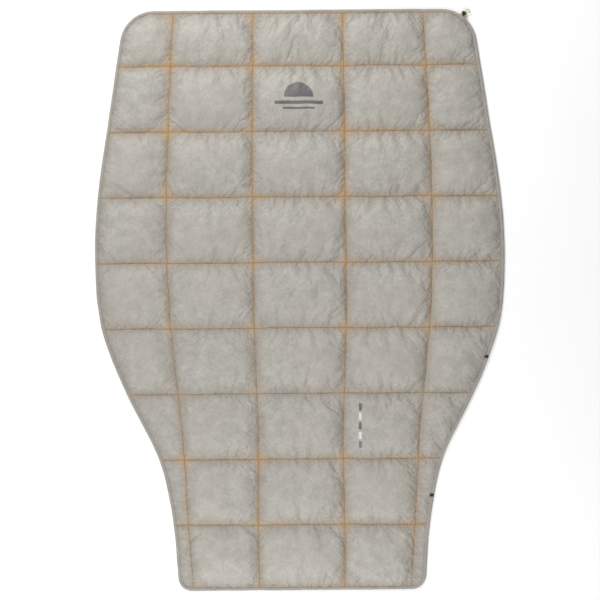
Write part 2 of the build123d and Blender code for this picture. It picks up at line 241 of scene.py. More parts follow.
def boundaries(column, y):
    """The left and right boundary of a column at the given heights."""
    lines = [-tucked_edge(y), -outer_seam(y), -inner_seam(y)]
    lines += [inner_seam(y), outer_seam(y), tucked_edge(y)]
    return lines[column], lines[column + 1]


STATION_Y, ROW_SEAMS = stations()
PLACES, COLUMN_SEAMS = across()


def flat_grid():
    """Plan of the cloth as two arrays, one row per station."""
    x = np.empty((len(STATION_Y), len(PLACES)))
    for column in range(len(COLUMNS)):
        left, right = boundaries(column, STATION_Y)
        for index, (owner, fraction) in enumerate(PLACES):
            if owner == column:
                x[:, index] = left + (right - left) * fraction
    return x, np.repeat(STATION_Y[:, None], len(PLACES), axis=1)


X, Y = flat_grid()
IS_SEAM = np.zeros(X.shape, bool)
IS_SEAM[ROW_SEAMS, :] = True
IS_SEAM[:, COLUMN_SEAMS] = True


def edge_distance(x, y):
    """How far each point is inside the tucked edge."""
    tree = KDTree(len(TUCKED_EDGE))
    for k, (px, py) in enumerate(TUCKED_EDGE):
        tree.insert((px, py, 0), k)
    tree.balance()
    side = [tree.find((abs(a), b, 0))[2] for a, b in zip(x.ravel(), y.ravel())]
    ends = np.minimum(y - ROWS[0], ROWS[-1] - y)
    return np.minimum(np.reshape(side, x.shape), ends)


def seam_data(x, y):
    """For each point: its distances to the nearest cross, inner and outer seam."""
    cross = np.min([np.abs(y - row) for row in ROWS], axis=0)
    inner = np.abs(np.abs(x) - inner_seam(y))
    outer = np.abs(np.abs(x) - outer_seam(y))
    return cross, inner, outer


EDGE_DISTANCE = edge_distance(X, Y)
CROSS, INNER, OUTER = seam_data(X, Y)


def chamber_rise():
    """How high each point's chamber may rise above its seams, from its narrower side."""
    rise = np.zeros(X.shape)
    for a, b in zip(COLUMN_SEAMS, COLUMN_SEAMS[1:]):
        width = X[:, b] - X[:, a]
        for c, d in zip(ROW_SEAMS, ROW_SEAMS[1:]):
            narrow = min(np.median(width[c : d + 1]), STATION_Y[d] - STATION_Y[c])
            rise[c : d + 1, a : b + 1] = min(1.0, narrow / FULL_WIDTH)
    return rise


RISE = chamber_rise()
SEAM_Z = EDGE_HEIGHT + (SEAM_HEIGHT - EDGE_HEIGHT) * smooth(EDGE_DISTANCE / EDGE_REACH)
SEAM_Z += SEAM_WAVE * noise(X / 0.031, Y / 0.031, 5) * smooth(EDGE_DISTANCE / 0.02)


# ---- the shell, as cloth
def grid_faces(rows, columns, flip=False):
    index = np.arange(rows * columns).reshape(rows, columns)
    corners = [index[:-1, :-1], index[:-1, 1:], index[1:, 1:], index[1:, :-1]]
    if flip:
        corners.reverse()
    return np.stack(corners, -1).reshape(-1, 4)


def new_mesh(name, points, faces):
    mesh = bpy.data.meshes.new(name)
    mesh.from_pydata(np.asarray(points).tolist(), [], np.asarray(faces).tolist())
    mesh.update()
    return mesh


def new_piece(name, mesh):
    piece = bpy.data.objects.new(name, mesh)
    bpy.context.scene.collection.objects.link(piece)
    return piece


def starting_shell():
    """The shell before it is blown up: low domes, with a little roughness to start the folds."""
    near = np.minimum(np.minimum(INNER, OUTER), EDGE_DISTANCE)
    near_row = np.minimum(CROSS, EDGE_DISTANCE)
    dome = (1 - np.exp(-near / DOME_REACH)) * (1 - np.exp(-near_row / DOME_REACH))
    z = SEAM_Z + (LOFT - SEAM_HEIGHT) * RISE * dome
    rough = START_ROUGHNESS * RNG.normal(size=X.shape) * ~IS_SEAM
    wave = MM * smooth(EDGE_DISTANCE / 0.03)
    x = X + wave * (0.7 * noise(Y / 0.017, X / 0.09, 11) + 1.6 * noise(Y / 0.08, X / 0.4, 13))
    y = Y + wave * (0.7 * noise(X / 0.017, Y / 0.09, 12) + 1.6 * noise(X / 0.08, Y / 0.4, 14))
    return np.stack([x, y, z + rough], -1)


def simulate(start):
    """Blows the chambers up as cloth, held along every seam and along the hem."""
    mesh = new_mesh("shell_cloth", start.reshape(-1, 3), grid_faces(*X.shape))
    piece = new_piece("shell_cloth", mesh)
    held = piece.vertex_groups.new(name="held")
    held.add(np.nonzero(IS_SEAM.ravel())[0].tolist(), 1.0, "REPLACE")
    cloth = piece.modifiers.new("cloth", "CLOTH")
    settings = cloth.settings
    settings.quality = 5
    settings.mass = 0.05
    settings.vertex_group_mass = "held"
    settings.tension_stiffness = 15
    settings.compression_stiffness = 15
    settings.shear_stiffness = 5
    settings.bending_stiffness = 0.05
    settings.use_pressure = True
    settings.uniform_pressure_force = CHAMBER_PRESSURE
    settings.shrink_min = -EXTRA_CLOTH
    settings.shrink_max = -EXTRA_CLOTH
    settings.effector_weights.gravity = 0
    cloth.collision_settings.use_collision = False
    cloth.collision_settings.use_self_collision = False
    for number in range(1, CLOTH_FRAMES + 1):
        bpy.context.scene.frame_set(number)
    depsgraph = bpy.context.evaluated_depsgraph_get()
    result = np.empty(start.size, np.float32)
    piece.evaluated_get(depsgraph).data.vertices.foreach_get("co", result)
    bpy.data.objects.remove(piece)
    bpy.data.meshes.remove(mesh)
    bpy.context.scene.frame_set(1)
    return result.reshape(start.shape).astype(float)


def settle(points, start):
    """Caps the movement and brings the chambers to the loft of the frame."""
    sideways = (points - start)[..., :2]
    size = np.linalg.norm(sideways, axis=-1, keepdims=True)
    sideways = sideways * np.minimum(1, MOST_SIDEWAYS / np.maximum(size, 1e-9))
    rise = np.maximum(points[..., 2] - SEAM_Z, 0)
    full = np.percentile(rise[RISE > 0.99], 98)
    rise *= (LOFT - SEAM_HEIGHT) / full
    limit = (LOFT - SEAM_HEIGHT) * (0.3 + 0.8 * RISE)
    bend = 0.6  # how strongly the highest places are held down
    rise = limit * np.tanh(rise / limit * bend) / math.tanh(bend)
    result = np.empty(points.shape)
    result[..., :2] = start[..., :2] + sideways
    result[..., 2] = SEAM_Z + rise
    return result


def finer(values):
    """Twice the grid lines each way, through a smooth curve."""
    for axis in (0, 1):
        values = np.moveaxis(values, axis, 0)
        before = np.concatenate([2 * values[:1] - values[1:2], values[:-2]])
        after = np.concatenate([values[2:], 2 * values[-1:] - values[-2:-1]])
        middle = (9 * (values[:-1] + values[1:]) - before - after) / 16
        result = np.empty((2 * len(values) - 1,) + values.shape[1:])
        result[::2], result[1::2] = values, middle
        values = np.moveaxis(result, 0, axis)
    return values


def softened(points, share):
    """Each inner point moved this share of the way to the average of its four neighbours."""
    result = points.copy()
    around = points[:-2, 1:-1] + points[2:, 1:-1] + points[1:-1, :-2] + points[1:-1, 2:]
    held = IS_SEAM[1:-1, 1:-1, None]
    result[1:-1, 1:-1] += share * (around / 4 - points[1:-1, 1:-1]) * ~held
    return result


def grid_normals(points):
    normal = np.cross(np.gradient(points, axis=1), np.gradient(points, axis=0))
    return normal / np.maximum(np.linalg.norm(normal, axis=-1, keepdims=True), 1e-12)


def gathers(along, distance, seed):
    """Small folds, in two sizes, that run away from a seam and fade out."""
    folds = noise(along / 0.0056, distance / 0.03, seed)
    folds += 0.7 * noise(along / 0.0095, distance / 0.05, seed + 1)
    return folds * np.exp(-distance / 0.022) * smooth(distance / 0.004)


def finish_shell(coarse):
    """Adds the clumps of down and the finest gathers to the simulated shell."""
    points = finer(softened(coarse, SOFTENING))
    x, y = finer(X), finer(Y)
    cross, inner, outer = seam_data(x, y)
    inside = finer(EDGE_DISTANCE)
    lengthwise = np.minimum(np.minimum(inner, outer), np.maximum(inside, 0))
    seam = np.minimum(cross, lengthwise)
    clumps = 1.1 * noise(x / 0.034, y / 0.034, 21) + 0.55 * noise(x / 0.016, y / 0.016, 22)
    lift = MM * clumps * smooth(seam / 0.03)
    lift += 0.55 * MM * (gathers(x, cross, 23) + gathers(y, lengthwise, 25))
    points += lift[..., None] * grid_normals(points)
    points[..., 2] = np.maximum(points[..., 2], finer(SEAM_Z) - 0.05 * MM)
    data = {"x": x, "y": y, "cross": cross, "inner": inner, "outer": outer}
    return points, data | {"lengthwise": lengthwise, "seam": seam}


COARSE_START = starting_shell()
COARSE = simulate(COARSE_START)
COARSE = settle(COARSE, COARSE_START)
SHELL, DATA = finish_shell(COARSE)
SHELL_NORMALS = grid_normals(SHELL)


# each kind of seam: how strongly the lining shows along it, and how far, in millimetres
GOLD_SEAMS = (("cross", 0.62, 3.6), ("outer", 0.5, 4.4), ("inner", 0.6, 5.4))
GOLD_HALO = 0.42  # strength of the wide faint band around a seam
GOLD_HALO_REACH = 0.016
CROSSING_REACH = 0.028  # the lining shows more within this distance of a crossing


def gold_tint(data):
    """How much of the lining's colour shows through, from 0 to 1."""
    tint = np.zeros(data["x"].shape)
    patches = 0.85 + 0.3 * noise(data["x"] / 0.3, data["y"] / 0.3, 30)
    patches += 0.3 * noise(data["x"] / 0.06, data["y"] / 0.06, 31)
    patches += 0.25 * noise(data["x"] / 0.015, data["y"] / 0.015, 32)
    spread = 1 + 0.35 * noise(data["x"] / 0.02, data["y"] / 0.02, 33)
    patches *= 0.8 + 0.3 * smooth(data["y"] / 0.6)
    near = np.hypot(data["cross"], np.minimum(data["inner"], data["outer"]))
    crossing = np.exp(-((near / CROSSING_REACH) ** 2))
    for key, weight, reach in GOLD_SEAMS:
        core = smooth((reach * MM * spread - data[key]) / (4 * MM) + 0.5)
        halo = GOLD_HALO * np.exp(-((data[key] / GOLD_HALO_REACH) ** 2))
        strength = weight + 0.3 * crossing
        tint = np.maximum(tint, strength * patches * (core + halo * (1 - core)))
    return np.clip(tint + 0.2 * crossing * patches, 0, 1)


# ---- materials
def new_material(name, build):
    material = bpy.data.materials.new(name)
    material.use_nodes = True
    nodes = material.node_tree.nodes
    build(Nodes(material.node_tree), nodes["Principled BSDF"])
    return material


class Nodes:
    """Short names for making and joining shader nodes."""

    def __init__(self, tree):
        self.tree = tree

    def put(self, value, target):
        """Joins an output to an input, or sets the input to a plain value."""
        if hasattr(value, "links"):
            self.tree.links.new(value, target)
        else:
            target.default_value = value

    def add(self, kind, inputs=None, **settings):
        node = self.tree.nodes.new(kind)
        for key, value in settings.items():
            setattr(node, key, value)
        for key, value in (inputs or {}).items():
            self.put(value, node.inputs[key])
        return node

    def attribute(self, name, output="Fac"):
        return self.add("ShaderNodeAttribute", attribute_name=name).outputs[output]

    def rest(self):
        return self.attribute("rest", "Vector")

    def place(self):
        return self.add("ShaderNodeTexCoord").outputs["Object"]

    def noise(self, vector, scale, detail=3.0, roughness=0.55):
        inputs = {"Vector": vector, "Scale": scale, "Detail": detail, "Roughness": roughness}
        return self.add("ShaderNodeTexNoise", inputs).outputs["Fac"]

    def math(self, operation, a, b=0.0, clamp=False):
        node = self.add("ShaderNodeMath", {0: a, 1: b}, operation=operation, use_clamp=clamp)
        return node.outputs[0]

    def span(self, value, low, high, to_low, to_high):
        inputs = {0: value, 1: low, 2: high, 3: to_low, 4: to_high}
        return self.add("ShaderNodeMapRange", inputs).outputs[0]

    def mix(self, factor, a, b):
        return self.add("ShaderNodeMix", {0: factor, 6: a, 7: b}, data_type="RGBA").outputs[2]

    def tones(self, value, dark, light, low=0.3, high=0.7):
        """From the dark to the light colour as a value goes from low to high."""
        return self.mix(self.span(value, low, high, 0, 1), dark, light)

    def wave(self, vector, scale, direction):
        inputs = {"Vector": vector, "Scale": scale, "Distortion": 0.0}
        settings = {"wave_type": "BANDS", "bands_direction": direction}
        return self.add("ShaderNodeTexWave", inputs, **settings).outputs["Fac"]

    def bump(self, height, distance, strength=1.0, normal=None):
        inputs = {"Height": height, "Distance": distance, "Strength": strength}
        if normal is not None:
            inputs["Normal"] = normal
        return self.add("ShaderNodeBump", inputs).outputs[0]

    def finish(self, shader, **values):
        """Sets the shader's inputs; a low line in a name stands for a space."""
        for key, value in values.items():
            self.put(value, shader.inputs[key.replace("_", " ")])


def colour(red, green, blue):
    """A colour given in display values from 0 to 255, all above 10."""
    return (*[((c / 255 + 0.055) / 1.055) ** 2.4 for c in (red, green, blue)], 1.0)


def ripstop(nodes, vector):
    """A fine square weave with a thicker thread every few millimetres."""
    fine = nodes.math("ADD", nodes.wave(vector, 300.0, "X"), nodes.wave(vector, 300.0, "Y"))
    grid = nodes.math("MAXIMUM", nodes.wave(vector, 32.0, "X"), nodes.wave(vector, 32.0, "Y"))
    thick = nodes.span(grid, 0.93, 1.0, 0.0, 1.0)
    return nodes.math("ADD", nodes.math("MULTIPLY", fine, 0.3), thick)


SEAM_REACH = 0.05  # over which the painted shade near a seam fades out, and over which a seam gathers the cloth


def pleat(nodes, along, distance):
    """Fine folds that run away from a seam, as heights."""
    line = nodes.add("ShaderNodeCombineXYZ", {0: along, 1: nodes.math("MULTIPLY", distance, 0.14)})
    folds = nodes.noise(line.outputs[0], 210.0, 2.0, 0.5)
    fade = nodes.span(distance, 0.0, SEAM_REACH, 1.0, 0.0)
    return nodes.math("MULTIPLY", folds, nodes.math("POWER", fade, 1.6))


def shell_look(nodes, shader):
    """Thin warm-grey nylon: clumps of down and the gold lining show through it. Near the seams it has
    painted shade of the seam valleys, partly also the thinner down there, and a painted dark crease
    line."""
    rest = nodes.rest()
    clumps = nodes.noise(rest, 26.0, 4.0, 0.62)
    specks = nodes.noise(rest, 95.0, 3.0, 0.6)
    broad = nodes.noise(rest, 4.0, 2.0, 0.5)
    fibres = nodes.noise(rest, 210.0, 3.0, 0.7)
    base = nodes.tones(clumps, colour(145, 142, 136), colour(178, 175, 168), 0.26, 0.74)
    base = nodes.mix(nodes.span(specks, 0.36, 0.66, 0, 0.42), base, colour(137, 134, 127))
    base = nodes.mix(nodes.span(fibres, 0.4, 0.68, 0, 0.4), base, colour(188, 185, 178))
    base = nodes.mix(nodes.span(broad, 0.35, 0.65, 0, 0.35), base, colour(170, 164, 153))
    seam = nodes.attribute("seam")
    fade = nodes.span(seam, 0.0, SEAM_REACH, 1.0, 0.0)
    # painted shade: the cloth darkens towards the seams as if the seam valleys fell into shade, partly
    # also because less down lies behind it there
    valley_shade_and_thin_down = nodes.math("MULTIPLY", nodes.math("POWER", fade, 2.5), 0.34)
    base = nodes.mix(valley_shade_and_thin_down, base, colour(106, 102, 97))
    uneven = nodes.span(specks, 0.3, 0.7, 0.75, 1.15)
    gold = nodes.math("MULTIPLY", nodes.attribute("tint"), uneven, clamp=True)
    base = nodes.mix(gold, base, colour(174, 138, 92))
    # painted shade: a dark brown line of shade painted into the crease right along each seam
    crease_shade_line = nodes.span(seam, 0.0004, 0.0026, 0.5, 0.0)
    crease = nodes.math("MULTIPLY", crease_shade_line, nodes.span(specks, 0.35, 0.6, 0.5, 1))
    base = nodes.mix(crease, base, colour(90, 72, 50))
    place = nodes.add("ShaderNodeSeparateXYZ", {0: rest}).outputs
    across_rows = pleat(nodes, place[0], nodes.attribute("cross_seam"))
    across_columns = pleat(nodes, place[1], nodes.attribute("long_seam"))
    normal = nodes.bump(nodes.math("ADD", across_rows, across_columns), 0.0026)
    normal = nodes.bump(nodes.noise(rest, 60.0, 5.0, 0.65), 0.0011, 1.0, normal)
    normal = nodes.bump(ripstop(nodes, rest), 0.00005, 0.6, normal)
    rough = nodes.span(clumps, 0.3, 0.7, 0.46, 0.58)
    nodes.finish(shader, Base_Color=base, Normal=normal, Roughness=rough, Specular_IOR_Level=0.35)
    nodes.finish(shader, Sheen_Weight=0.12, Sheen_Roughness=0.4)


def lining_look(nodes, shader):
    """Gold-tan nylon with a soft shine."""
    rest = nodes.rest()
    clumps = nodes.noise(rest, 22.0, 4.0, 0.6)
    base = nodes.tones(clumps, colour(164, 132, 88), colour(188, 156, 110))
    normal = nodes.bump(nodes.noise(rest, 48.0, 5.0, 0.65), 0.0016)
    normal = nodes.bump(ripstop(nodes, rest), 0.00005, 0.6, normal)
    rough = nodes.span(clumps, 0.3, 0.7, 0.4, 0.52)
    nodes.finish(shader, Base_Color=base, Normal=normal, Roughness=rough, Sheen_Weight=0.15)


def thread_look(nodes, shader):
    """Tan twisted thread."""
    twist = nodes.noise(nodes.rest(), 900.0, 2.0)
    base = nodes.tones(twist, colour(126, 112, 88), colour(158, 144, 116))
    nodes.finish(shader, Base_Color=base, Normal=nodes.bump(twist, 0.0002), Roughness=0.6)


BRAID_PITCH = 4.2 * MM


def cord_look(nodes, shader):
    """A braided cover: yellow with black strands crossing it both ways."""
    along, around = nodes.attribute("along"), nodes.attribute("around")
    turns = nodes.math("MULTIPLY", along, 2 * math.pi / BRAID_PITCH)
    angle = nodes.math("MULTIPLY", around, 4 * math.pi)
    one = nodes.math("SINE", nodes.math("ADD", turns, angle))
    other = nodes.math("SINE", nodes.math("SUBTRACT", turns, angle))
    strands = nodes.math("MAXIMUM", one, other)
    grain = nodes.noise(nodes.rest(), 1500.0, 2.0)
    yellow = nodes.mix(grain, colour(214, 186, 42), colour(236, 216, 84))
    base = nodes.tones(strands, yellow, colour(28, 26, 22), 0.72, 0.86)
    nodes.finish(shader, Base_Color=base, Normal=nodes.bump(strands, 0.0002))
    nodes.finish(shader, Roughness=0.7, Sheen_Weight=0.3)


def plastic_look(dark, light, roughness):
    """Moulded plastic with a fine grain and slightly paler worn spots."""

    def build(nodes, shader):
        place = nodes.place()
        normal = nodes.bump(nodes.noise(place, 2600.0, 3.0), 0.00006)
        worn = nodes.noise(place, 260.0, 4.0)
        base = nodes.tones(worn, dark, light, 0.5, 0.75)
        rough = nodes.span(worn, 0.3, 0.7, roughness, roughness + 0.15)
        nodes.finish(shader, Base_Color=base, Normal=normal, Roughness=rough)

    return build


def steel_look(nodes, shader):
    """Drawn wire."""
    drawn = nodes.noise(nodes.place(), 3000.0, 2.0)
    base = nodes.mix(drawn, colour(150, 150, 152), colour(196, 196, 198))
    rough = nodes.span(drawn, 0.3, 0.7, 0.22, 0.36)
    nodes.finish(shader, Base_Color=base, Metallic=1.0, Roughness=rough)


def webbing_look(nodes, shader):
    """Black woven tape, ribbed across its length."""
    rest = nodes.rest()
    rib = nodes.math("ADD", nodes.wave(rest, 260.0, "X"), nodes.wave(rest, 420.0, "Y"))
    grain = nodes.noise(rest, 1800.0, 2.0)
    base = nodes.tones(grain, colour(18, 18, 18), colour(46, 45, 44))
    nodes.finish(shader, Base_Color=base, Normal=nodes.bump(rib, 0.0003))
    nodes.finish(shader, Roughness=0.75, Sheen_Weight=0.2)


def print_look(dark, light, worn, worn_from, worn_share):
    """A thin print: the cloth's clumps and creases still show in it, and it is cracked a little."""

    def build(nodes, shader):
        rest = nodes.rest()
        clumps = nodes.noise(rest, 26.0, 4.0, 0.62)
        base = nodes.tones(clumps, dark, light, 0.32, 0.68)
        cracks = nodes.span(nodes.noise(rest, 420.0, 3.0), *worn_from, 0, worn_share)
        normal = nodes.bump(nodes.noise(rest, 60.0, 5.0, 0.65), 0.0012)
        base = nodes.mix(cracks, base, worn)
        nodes.finish(shader, Base_Color=base, Normal=normal, Roughness=0.5)

    return build


GREY, LIGHT_GREY = colour(88, 86, 88), colour(106, 104, 105)
GREY_PRINT = print_look(GREY, LIGHT_GREY, colour(160, 156, 150), (0.62, 0.75), 0.4)
PALE = colour(206, 205, 201)
PALE_PRINT = print_look(PALE, PALE, colour(178, 174, 166), (0.55, 0.7), 0.7)
LOCK_PLASTIC = plastic_look(colour(16, 16, 17), colour(40, 40, 42), 0.42)
STUD_PLASTIC = plastic_look(colour(20, 20, 21), colour(48, 48, 50), 0.38)
SHELL_MATERIAL = new_material("shell_nylon", shell_look)
LINING_MATERIAL = new_material("lining_nylon", lining_look)
THREAD_MATERIAL = new_material("quilting_thread", thread_look)
CORD_MATERIAL = new_material("cord_braid", cord_look)
LOCK_MATERIAL = new_material("lock_plastic", LOCK_PLASTIC)
STUD_MATERIAL = new_material("stud_plastic", STUD_PLASTIC)
STEEL_MATERIAL = new_material("spring_steel", steel_look)
WEBBING_MATERIAL = new_material("webbing", webbing_look)
PRINT_MATERIAL = new_material("grey_print", GREY_PRINT)
PALE_PRINT_MATERIAL = new_material("pale_print", PALE_PRINT)


# ---- pieces on their bodies
def dress(piece, material, floats=None, rest=None):
    """Smooth shading, a material, and the values that the material reads."""
    mesh = piece.data
    mesh.shade_smooth()
    mesh.materials.clear()
    mesh.materials.append(material)
    for name, values in (floats or {}).items():
        layer = mesh.attributes.new(name, "FLOAT", "POINT")
        layer.data.foreach_set("value", np.asarray(values, np.float32).ravel())
    if rest is not None:
        layer = mesh.attributes.new("rest", "FLOAT_VECTOR", "POINT")
        layer.data.foreach_set("vector", np.asarray(rest, np.float32).ravel())
    return piece


def blend_strip(piece, number):
    """Bakes a strip's transform into its mesh; it reads the fold's joint and the direction across the
    fold, but uses neither.
    """
    body_a, body_b, joint_name, _ = STRIPS[number]
    joint = JOINTS[joint_name]
    point = Vector(joint["pos_m"])
    across_fold = Vector(joint["axis"]).cross(Vector((0, 0, 1)))
    across_fold.z = 0
    across_fold.normalize()
    if across_fold.x * point.x < 0:
        across_fold.negate()
    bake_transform(piece)
    return piece


def strip_number(x, y):
    """Which strip a point belongs to: they part at the middles of the three middle columns."""
    middle = (inner_seam(y) + outer_seam(y)) / 2
    return (x > -middle).astype(int) + (x > 0).astype(int) + (x > middle).astype(int)


def strip_columns(step):
    """Grid columns where the strips part, on a grid with this many lines per cloth line."""
    middles = [(COLUMN_SEAMS[k] + COLUMN_SEAMS[k + 1]) // 2 for k in (1, 2, 3)]
    return [0] + [step * m for m in middles] + [step * (len(PLACES) - 1)]


def cloth_strips(name, points, normals, floats, material, step, flip=False):
    """Cuts a whole grid of cloth into the four strips, with no visible line between them."""
    cuts = strip_columns(step)
    pieces = []
    for number, (a, b) in enumerate(zip(cuts, cuts[1:])):
        part = points[:, a : b + 1]
        mesh = new_mesh(name, part.reshape(-1, 3), grid_faces(part.shape[0], part.shape[1], flip))
        piece = new_piece(f"{name}_{number + 1}", mesh)
        values = {key: value[:, a : b + 1] for key, value in floats.items()}
        dress(piece, material, values, part.reshape(-1, 3))
        facing = normals[:, a : b + 1].reshape(-1, 3) * (-1 if flip else 1)
        mesh.normals_split_custom_set_from_vertices(facing.tolist())
        pieces.append(blend_strip(piece, number))
    return pieces


def build_shell():
    floats = {"seam": DATA["seam"], "cross_seam": DATA["cross"], "long_seam": DATA["lengthwise"]}
    floats["tint"] = gold_tint(DATA)
    strips = cloth_strips("shell", SHELL, SHELL_NORMALS, floats, SHELL_MATERIAL, FINE)
    for piece, (_, _, _, columns) in zip(strips, STRIPS):
        for column in columns:
            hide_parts(f"outer_shell_{column}")
            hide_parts(*[f"down_{column}_{part}" for part in ("foot", "torso", "head")])


def build_lining():
    """The same chambers from below, pressed flat where they lie on the ground."""
    depth = (COARSE[..., 2] - SEAM_Z) * 0.55
    room = SEAM_Z - GROUND_GAP
    sag = room * np.tanh(depth / np.maximum(room, 1e-5) * 1.4)
    crease = 0.25 * MM * noise(X / 0.012, Y / 0.012, 41) * np.exp(-CROSS / 0.03)
    z = np.maximum(SEAM_Z - LINING_GAP - sag + crease, LINING_LOWEST)
    points = np.stack([COARSE[..., 0], COARSE[..., 1], z], -1)
    normals = grid_normals(points)
    strips = cloth_strips(
        "lining", points, normals, {}, LINING_MATERIAL, 1, flip=True
    )
    for piece, (_, _, _, columns) in zip(strips, STRIPS):
        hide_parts(*[f"lining_{column}" for column in columns])


build_shell()
build_lining()


# ---- the hem
def whole_outline(step):
    """The edge all the way round, from the middle of the foot, with its inward directions."""
    right = EDGE
    left = EDGE[::-1] * (-1, 1)
    path = np.concatenate([[[0, cad_low.y]], right, left, [[0, cad_low.y]]])
    path = resample(path, step)[:-1]
    along = np.roll(path, -1, axis=0) - np.roll(path, 1, axis=0)
    along /= np.linalg.norm(along, axis=1, keepdims=True)
    inward = np.stack([-along[:, 1], along[:, 0]], -1)
    return path, inward


OUTLINE_STEP = 3 * MM
HEM_LINE = 9  # millimetres from the edge; the section beyond it is the seam that holds the hem
# the hem's section, from the edge inwards and back, in millimetres: distance from the edge, height
HEM_SECTION = [
    (0.0, 0.0), (0.5, 1.1), (1.8, 1.85), (4.0, 2.15), (6.5, 2.05), (8.8, 1.45), (10.6, 0.55),
    (11.2, -0.1), (10.6, -0.7), (8.8, -1.4), (6.5, -1.9), (4.0, -2.0), (1.8, -1.75), (0.5, -1.1),
]


def loose_strips(name, rings, closed_path, material, floats):
    """Cuts a swept band into the four strips. rings holds one section per path point."""
    count, sides = rings.shape[:2]
    centre = rings.mean(axis=1)
    follow = np.roll(centre, -1, axis=0) if closed_path else centre[1:]
    start = centre if closed_path else centre[:-1]
    middle = (start + follow) / 2
    owner = strip_number(middle[:, 0], middle[:, 1])
    pieces = {}
    for number in range(len(STRIPS)):
        faces = []
        for i in np.nonzero(owner == number)[0]:
            j = (i + 1) % count
            for k in range(sides):
                m = (k + 1) % sides
                faces.append((i * sides + k, j * sides + k, j * sides + m, i * sides + m))
        if not faces:
            continue
        used, faces = np.unique(np.array(faces), return_inverse=True)
        points = rings.reshape(-1, 3)[used]
        mesh = new_mesh(name, points, faces.reshape(-1, 4))
        piece = new_piece(f"{name}_{number + 1}", mesh)
        values = {key: value.reshape(-1)[used] for key, value in floats.items()}
        dress(piece, material, values, points)
        pieces[number] = blend_strip(piece, number)
    return pieces


def build_hem():
    """A turned hem all round: a soft flattened roll with small puckers."""
    path, inward = whole_outline(OUTLINE_STEP)
    at = np.arange(len(path)) * OUTLINE_STEP
    sideways = 0.6 * MM * noise(at / 0.05, at * 0, 51)
    plump = 1 + 0.1 * noise(at / 0.02, at * 0 + 3, 52)
    rings = np.empty((len(path), len(HEM_SECTION), 3))
    tint = np.zeros(rings.shape[:2])
    seam = np.zeros(rings.shape[:2])
    for k, (distance, height) in enumerate(HEM_SECTION):
        pucker = 0.22 * MM * noise(at / 0.0065, at * 0 + distance / 6, 53) * (distance > 1)
        rings[:, k, :2] = path + inward * (distance * MM + sideways[:, None] * (distance < HEM_LINE))
        rings[:, k, 2] = EDGE_HEIGHT + height * MM * plump + pucker * np.sign(height)
        # painted shade: these seam values darken the whole hem through the shell's painted seam shade,
        # and put a painted dark crease line along its inner seam
        seam[:, k] = (1.2 if distance > HEM_LINE else 3.5) * MM
        tint[:, k] = 0.15 if distance > HEM_LINE else 0.03
    turn = (inward**2)[:, None] * np.ones((1, len(HEM_SECTION), 1))
    floats = {"tint": tint, "seam": seam}
    # its pleats run across it, as if from a cross seam at the ends and a lengthwise one at the sides
    floats["cross_seam"] = (3.5 + 46 * (1 - turn[..., 1])) * MM
    floats["long_seam"] = (3.5 + 46 * (1 - turn[..., 0])) * MM
    rings[..., 0] = np.clip(rings[..., 0], cad_low.x, cad_high.x)
    return loose_strips("hem", rings, True, SHELL_MATERIAL, floats)


build_hem()


# ---- stitching
STITCH_PITCH = 3.6 * MM
STITCH_LENGTH = 2.7 * MM
STITCH_RADIUS = 0.32 * MM
STITCH_SIDES = 6
STITCH_RINGS = ((-0.5, 0.45), (-0.3, 1.0), (0.3, 1.0), (0.5, 0.45))  # place, size
STITCH_LIFT = 0.15 * MM
HEM_STITCH_INSET = 9.2 * MM
HEM_STITCH_HEIGHT = 1.35 * MM  # above the hem's middle


def directions(points):
    """Along a path in space, to its side and up from it, at each point."""
    along = np.gradient(points, axis=0)
    along /= np.linalg.norm(along, axis=1, keepdims=True)
    side = np.cross(along, (0, 0, 1))
    side /= np.linalg.norm(side, axis=1, keepdims=True)
    return along, side, np.cross(side, along)


def stitches_along(path):
    """Small tapered stitches on a path: an array of points for each, ring after ring."""
    points = resample(path, STITCH_PITCH)
    along, side, up = directions(points)
    rings = []
    for reach, size in STITCH_RINGS:
        for k in range(STITCH_SIDES):
            angle = 2 * math.pi * k / STITCH_SIDES
            offset = math.cos(angle) * side + math.sin(angle) * up
            rings.append(points + reach * STITCH_LENGTH * along + size * STITCH_RADIUS * offset)
    return np.stack(rings, axis=1)


def stitch_faces():
    n, last = STITCH_SIDES, len(STITCH_RINGS) - 1
    faces = [(k, (k + 1) % n, n + (k + 1) % n, n + k) for k in range(n)]
    sides = [tuple(v + n * ring for v in face) for ring in range(last) for face in faces]
    return sides + [tuple(reversed(range(n))), tuple(range(last * n, last * n + n))]


def surface_path(points, lift):
    path = points.copy()
    path[:, 2] += lift
    return path


def build_stitching(name, paths, nodes):
    """All the stitches of one kind of seam, cut into strips by place."""
    blocks = np.concatenate([stitches_along(path) for path in paths])
    centre = blocks.mean(axis=1)
    owner = strip_number(centre[:, 0], centre[:, 1])
    pattern = stitch_faces()
    for number in range(len(STRIPS)):
        chosen = blocks[owner == number]
        if not len(chosen):
            continue
        size = chosen.shape[1]
        faces = [tuple(size * i + v for v in face) for i in range(len(chosen)) for face in pattern]
        mesh = bpy.data.meshes.new(name)
        mesh.from_pydata(chosen.reshape(-1, 3).tolist(), [], faces)
        piece = new_piece(f"{name}_{number + 1}", mesh)
        dress(piece, THREAD_MATERIAL, rest=chosen.reshape(-1, 3))
        blend_strip(piece, number)
        if nodes.get(number):
            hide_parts(*nodes[number])


def by_strip(prefix):
    return {n: [f"{prefix}_{column}" for column in strip[3]] for n, strip in enumerate(STRIPS)}


